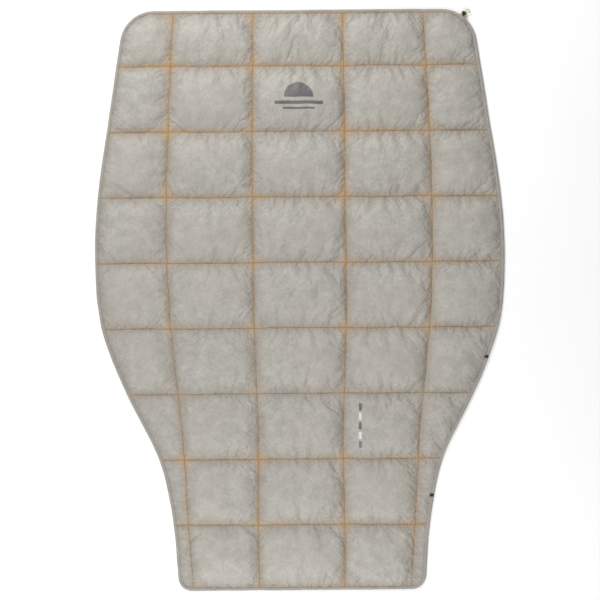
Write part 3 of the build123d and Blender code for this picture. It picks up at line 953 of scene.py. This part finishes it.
row_paths = [surface_path(SHELL[FINE * row], STITCH_LIFT) for row in ROW_SEAMS[1:-1]]
build_stitching("cross_stitching_thread", row_paths, by_strip("cross_stitching"))
column_paths = [surface_path(SHELL[:, FINE * column], STITCH_LIFT) for column in COLUMN_SEAMS[1:-1]]
lengthwise_nodes = {n: [f"lengthwise_stitching_{strip[3][-1]}"] for n, strip in enumerate(STRIPS)}
build_stitching("lengthwise_stitching_thread", column_paths, lengthwise_nodes)
hem_path, hem_inward = whole_outline(OUTLINE_STEP)
hem_stitch = np.empty((len(hem_path), 3))
hem_stitch[:, :2] = hem_path + hem_inward * HEM_STITCH_INSET
hem_stitch[:, 2] = EDGE_HEIGHT + HEM_STITCH_HEIGHT
build_stitching("hem_stitching_thread", [hem_stitch], by_strip("edge_stitching"))


# ---- the drawcord
CORD_RADIUS = 1.25 * MM
CORD_SIDES = 12
CORD_STEP = 0.8 * MM


def tube(path):
    """Rings of points around a path, with the distance along it and the turn around it."""
    points = resample(path, CORD_STEP)
    _, side, up = directions(points)
    turn = 2 * math.pi * np.arange(CORD_SIDES) / CORD_SIDES
    offset = np.cos(turn)[None, :, None] * side[:, None] + np.sin(turn)[None, :, None] * up[:, None]
    rings = points[:, None] + CORD_RADIUS * offset
    distance = np.arange(len(points)) * CORD_STEP
    floats = {
        "along": np.repeat(distance[:, None], CORD_SIDES, axis=1),
        "around": np.repeat(np.arange(CORD_SIDES)[None] / CORD_SIDES, len(points), axis=0),
    }
    return rings, floats


def tube_mesh(name, rings):
    """A tube with closed ends through rings of points."""
    count, sides = rings.shape[:2]
    faces = []
    for i in range(count - 1):
        for k in range(sides):
            m = (k + 1) % sides
            faces.append((i * sides + k, i * sides + m, (i + 1) * sides + m, (i + 1) * sides + k))
    faces.append(tuple(reversed(range(sides))))
    faces.append(tuple(range((count - 1) * sides, count * sides)))
    mesh = bpy.data.meshes.new(name)
    mesh.from_pydata(rings.reshape(-1, 3).tolist(), [], faces)
    return mesh


def tube_piece(name, path):
    rings, floats = tube(path)
    piece = new_piece(name, tube_mesh(name, rings))
    values = {key: value.reshape(-1) for key, value in floats.items()}
    return dress(piece, CORD_MATERIAL, values, rings.reshape(-1, 3))


def curve(points):
    """A smooth path through a few points."""
    points = np.asarray(points, float)
    ends = np.concatenate([[2 * points[0] - points[1]], points, [2 * points[-1] - points[-2]]])
    result = []
    for a, b, c, d in zip(ends, ends[1:], ends[2:], ends[3:]):
        for t in np.linspace(0, 1, 16, endpoint=False):
            part = 2 * b + (c - a) * t + (2 * a - 5 * b + 4 * c - d) * t**2
            result.append(0.5 * (part + (3 * b - a - 3 * c + d) * t**3))
    result.append(points[-1])
    return resample(np.array(result), 0.5 * MM)


LOCK_LOW, LOCK_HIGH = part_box("cord_lock_body")
OUTWARD = np.array(JOINTS["cord_lock_slide"]["axis"])
PRESS = np.array(JOINTS["cord_lock_press"]["axis"])
CORD_FROM_MIDDLE = 1.5 * MM  # the cord runs this far from the body's middle, near the plunger
LOCK = np.array((LOCK_LOW + LOCK_HIGH) / 2) - CORD_FROM_MIDDLE * PRESS
LOCK_REACH = 6.5 * MM
CORD_APART = 1.35 * MM  # half the distance between the two runs of cord in the lock
LOOP_RADIUS = 6.6 * MM
LOOP_CENTRE = 14.5 * MM  # from the lock's middle
TUNNEL = 6 * MM  # the hem's tunnel is this far inside the edge
# where the cord's runs leave the hem, in points of the edge from the one nearest to the lock
HEAD_EXIT, SIDE_EXIT = 5, -10


def at_lock(along, across_lock, up):
    """A point given from the lock: outwards, away from the plunger, and up."""
    return LOCK + along * OUTWARD - across_lock * PRESS + np.array((0, 0, up))


def hem_point(index, inside, z):
    """A point this far inside the edge, beside one of the edge's points."""
    x, y = EDGE[index]
    along = EDGE[min(index + 1, len(EDGE) - 1)] - EDGE[index - 1]
    along /= np.linalg.norm(along)
    return np.array((x - inside * along[1], y + inside * along[0], z))


def build_cord():
    """One cord: along the head hem, out, through the lock, round a loop and back in."""
    nearest = int(np.argmin(np.linalg.norm(EDGE - LOCK[:2], axis=1)))
    towards_head, towards_side = nearest + HEAD_EXIT, nearest + SIDE_EXIT
    z = EDGE_HEIGHT
    half = inset(EDGE, TUNNEL)[towards_head + 8 :]
    head = np.concatenate([half, half[::-1] * (-1, 1)])[:-10]
    hidden = np.concatenate([head, np.full((len(head), 1), z)], axis=1)
    rings, floats = tube(hidden)
    strips = loose_strips("drawcord_in_hem", rings, False, CORD_MATERIAL, floats)
    for number, piece in strips.items():
        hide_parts(*[f"drawcord_{column}" for column in STRIPS[number][3]])
    low, high = -CORD_APART, CORD_APART
    runs = {
        "drawcord_upper_run": [
            hem_point(towards_head + 8, TUNNEL, z),
            hem_point(towards_head + 3, 2.5 * MM, z),
            at_lock(-LOCK_REACH - 4 * MM, 1.5 * MM, low), at_lock(-LOCK_REACH, 0, low),
            at_lock(-LOCK_REACH / 2, 0, low), at_lock(0, 0, low),
        ],
        "drawcord_lower_run": [
            hem_point(towards_side - 14, TUNNEL, z),
            hem_point(towards_side - 6, TUNNEL, z),
            hem_point(towards_side, 0.0, z + 0.6 * MM),
            at_lock(-LOCK_REACH - 2.5 * MM, -2.6 * MM, high),
            at_lock(-LOCK_REACH, 0, high), at_lock(-LOCK_REACH / 2, 0, high), at_lock(0, 0, high),
        ],
    }
    for name, points in runs.items():
        piece = tube_piece(name, curve(points))
        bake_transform(piece)
    ring = [at_lock(-1 * MM, 0, low), at_lock(LOCK_REACH - 1.5 * MM, 0, low)]
    for angle in (115, 70, 35, 0, -35, -70, -115):
        turn = math.radians(angle)
        along = LOOP_CENTRE + LOOP_RADIUS * math.cos(turn)
        ring.append(at_lock(along, LOOP_RADIUS * math.sin(turn), low * angle / 115))
    ring += [at_lock(LOCK_REACH - 1.5 * MM, 0, high), at_lock(-1 * MM, 0, high)]
    loop = tube_piece("drawcord_loop", curve(ring))
    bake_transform(loop)


build_cord()


SPRING_TURNS = 2.75
SPRING_SIDES = 10


def build_spring():
    """The cord lock's spring: a coil of round wire with closed end turns, built at rest on the cord
    lock's body; it does not close up as the plunger is pressed.
    """
    points = node_points("cord_lock_spring") - LOCK
    along = points @ PRESS
    reach = np.linalg.norm(points - along[:, None] * PRESS, axis=1)
    wire = (reach.max() - reach.min()) / 2
    radius = (reach.max() + reach.min()) / 2
    t = np.linspace(0, 1, 150)
    turn = 2 * math.pi * SPRING_TURNS * t
    outward = np.cos(turn)[:, None] * OUTWARD + np.sin(turn)[:, None] * np.array((0, 0, 1))
    closed_ends = t - 0.8 * np.sin(2 * math.pi * t) / (2 * math.pi)
    place = along.min() + wire + (np.ptp(along) - 2 * wire) * closed_ends
    path = LOCK + place[:, None] * PRESS + radius * outward
    rings = []
    for k in range(SPRING_SIDES):
        angle = 2 * math.pi * k / SPRING_SIDES
        rings.append(path + wire * (math.cos(angle) * outward + math.sin(angle) * PRESS))
    mesh = tube_mesh("spring", np.stack(rings, axis=1))
    mesh.shade_smooth()
    mesh.materials.append(STEEL_MATERIAL)
    piece = new_piece("return_spring", mesh)
    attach(piece, "cord_lock")
    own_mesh(piece)
    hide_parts("cord_lock_spring")


build_spring()


# ---- tabs and prints
def build_tabs():
    """Two short pieces of black tape on the right edge, one under each stud, edges lifting."""
    points = node_points("stud_tabs")
    split = (points[:, 1].min() + points[:, 1].max()) / 2
    for name, chosen in (("lower", points[:, 1] < split), ("upper", points[:, 1] >= split)):
        low, high = points[chosen].min(0), points[chosen].max(0)
        u, v = np.meshgrid(np.linspace(-1, 1, 19), np.linspace(-1, 1, 15))
        corner = 1 - 0.05 * (u * v) ** 4
        x = (low[0] + high[0]) / 2 + u * (high[0] - low[0]) / 2 * corner
        y = (low[1] + high[1]) / 2 + v * (high[1] - low[1]) / 2 * corner
        lift = 0.5 * MM * np.abs(u) ** 3 * noise(u * 2 + 9, v * 2, 61)
        lift -= 0.6 * MM * np.clip(u, 0, 1) ** 3
        top = np.stack([x, y, high[2] + lift], -1).reshape(-1, 3)
        bottom = np.stack([x, y, low[2] + lift], -1).reshape(-1, 3)
        faces = list(grid_faces(*u.shape)) + list(grid_faces(*u.shape, flip=True) + u.size)
        index = np.arange(u.size).reshape(u.shape)
        border = [*index[0], *index[1:, -1], *index[-1, -2::-1], *index[-2:0:-1, 0]]
        for a, b in zip(border, border[1:] + border[:1]):
            faces.append((b, a, a + u.size, b + u.size))
        all_points = np.concatenate([top, bottom])
        piece = new_piece(f"{name}_stud_tab", new_mesh("tab", all_points, faces))
        dress(piece, WEBBING_MATERIAL, rest=all_points)
        bevel = piece.modifiers.new("soft_edge", "BEVEL")
        bevel.width = 0.25 * MM
        bevel.segments = 2
        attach(piece, "right_outer")
        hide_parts("stud_tabs")


def on_shell(x, y, lift):
    """Places points given on the flat cloth onto the finished shell."""
    row = np.interp(y, STATION_Y, np.arange(len(STATION_Y))) * FINE
    edges = [X[:, seam] for seam in COLUMN_SEAMS]
    column = np.empty(x.shape)
    for index in np.ndindex(x.shape):
        at = [np.interp(y[index], STATION_Y, edge) for edge in edges]
        column[index] = np.interp(x[index], at, COLUMN_SEAMS) * FINE
    i, j = np.floor(row).astype(int), np.floor(column).astype(int)
    a, b = (row - i)[..., None], (column - j)[..., None]

    def sample(values):
        near = values[i, j] * (1 - b) + values[i, j + 1] * b
        far = values[i + 1, j] * (1 - b) + values[i + 1, j + 1] * b
        return near * (1 - a) + far * a

    return sample(SHELL) + lift * sample(SHELL_NORMALS)


PRINT_LIFT = 0.3 * MM
PRINT_STEP = 1.5 * MM


def print_patch(name, x, y, body, material):
    """A grid of points printed on the shell."""
    points = on_shell(x, y, PRINT_LIFT)
    mesh = new_mesh(name, points.reshape(-1, 3), grid_faces(*x.shape))
    piece = new_piece(name, mesh)
    dress(piece, material, rest=points.reshape(-1, 3))
    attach(piece, body)


def bar(x0, x1, y0, y1):
    """A grid of points over a rectangle."""
    count_x = max(2, int((x1 - x0) / PRINT_STEP))
    count_y = max(2, int((y1 - y0) / PRINT_STEP))
    return np.meshgrid(np.linspace(x0, x1, count_x), np.linspace(y0, y1, count_y))


def build_prints():
    """A plain mark in the middle column and a row of plain dashes in the right inner one."""
    middle = (ROWS[-3] + ROWS[-2]) / 2  # of the second row from the head
    radius = 46 * MM
    turn, reach = np.meshgrid(np.linspace(0, math.pi, 97), np.linspace(0.02, 1, 32))
    x, y = -reach * radius * np.cos(turn), middle + 4 * MM + reach * radius * np.sin(turn)
    print_patch("middle_print_half_disc", x[::-1], y[::-1], "centre", PRINT_MATERIAL)
    x, y = bar(-76 * MM, 76 * MM, middle - 18 * MM, middle - 8 * MM)
    print_patch("middle_print_bar", x, y, "centre", PRINT_MATERIAL)
    x, y = bar(-50 * MM, 50 * MM, middle - 34 * MM, middle - 28 * MM)
    print_patch("middle_print_line", x, y, "centre", PRINT_MATERIAL)
    left = (inner_seam(ROWS[2]) + outer_seam(ROWS[2])) / 2 - 68 * MM
    top = ROWS[3] - 36 * MM
    width, height, pitch = 9 * MM, 22 * MM, 30 * MM
    for number in range(5):
        high = top - number * pitch
        x, y = bar(left, left + width, high - height, high)
        material = PALE_PRINT_MATERIAL if number % 2 else PRINT_MATERIAL
        print_patch(f"side_print_{number + 1}", x, y, "right_inner", material)


build_tabs()
build_prints()


# ---- hard parts of the frame
def finish_node(node, material):
    """Gives a CAD part that shows as it is its material."""
    mesh = frame["nodes"][node].data
    if not mesh.materials:
        mesh.materials.append(material)
    for index in range(len(mesh.materials)):
        mesh.materials[index] = material


for hard_node in ("cord_lock_body", "cord_lock_plunger"):
    finish_node(hard_node, LOCK_MATERIAL)
for hard_node in ("press_studs", "press_sockets"):
    finish_node(hard_node, STUD_MATERIAL)


# ---- floor, light and camera
FLOOR_DROP = 1.8 * MM  # room under the quilt for the cloth that turns at a fold
FLOOR_REACH = 6
FLOOR_LIGHT, FLOOR_DARK = (0.95, 0.95, 0.95, 1), (0.93, 0.93, 0.93, 1)
LENS, SENSOR = 200, 36  # of the camera, in millimetres
QUILT_SHARE = 0.9667  # of the picture's height that the quilt takes up
CAMERA_TURN = -0.45  # degrees, so that the quilt lies as in the photo
WORLD_LIGHT = 0.47


def build_floor():
    corners = [(-1, -1), (1, -1), (1, 1), (-1, 1)]
    mesh = new_mesh("floor", [(FLOOR_REACH * x, FLOOR_REACH * y, 0) for x, y in corners], [(0, 1, 2, 3)])
    floor = new_piece("floor", mesh)
    floor.location.z = -FLOOR_DROP

    def look(nodes, shader):
        base = nodes.mix(nodes.noise(nodes.place(), 3.0, 2.0), FLOOR_DARK, FLOOR_LIGHT)
        nodes.finish(shader, Base_Color=base, Roughness=0.9)

    floor.data.materials.append(new_material("pale_floor", look))


def area_light(name, place, size, power):
    """A round soft light that shines at the middle of the quilt."""
    light = bpy.data.lights.new(name, "AREA")
    light.shape = "DISK"
    light.size = size
    light.energy = power
    lamp = bpy.data.objects.new(name, light)
    lamp.location = place
    lamp.rotation_euler = (-Vector(place)).to_track_quat("-Z", "Y").to_euler()
    bpy.context.scene.collection.objects.link(lamp)


def build_camera():
    """Straight above, as in the photo, from far away."""
    camera = bpy.data.objects.new("camera", bpy.data.cameras.new("camera"))
    bpy.context.scene.collection.objects.link(camera)
    camera.data.sensor_width = SENSOR
    camera.data.lens = LENS
    view_width = (cad_high.y - cad_low.y) / QUILT_SHARE
    camera.location = (0, 0, view_width * LENS / SENSOR)
    camera.rotation_euler = (0, 0, math.radians(CAMERA_TURN))
    camera.data.clip_end = 50
    bpy.context.scene.camera = camera


def build_world():
    world = bpy.data.worlds.new("world")
    bpy.context.scene.world = world
    world.use_nodes = True
    background = world.node_tree.nodes["Background"]
    background.inputs[0].default_value = (1, 1, 1, 1)
    background.inputs[1].default_value = WORLD_LIGHT


build_floor()
build_world()
# place, size, power: the photo is lit from beyond both ends of the quilt
area_light("head_light", (-1.0, 2.8, 2.0), 1.4, 80)
area_light("foot_light", (-0.5, -2.9, 2.0), 1.4, 66)
area_light("top_light", (0.4, -0.6, 5.0), 3.0, 18)
build_camera()
bpy.context.scene.view_settings.view_transform = "Standard"
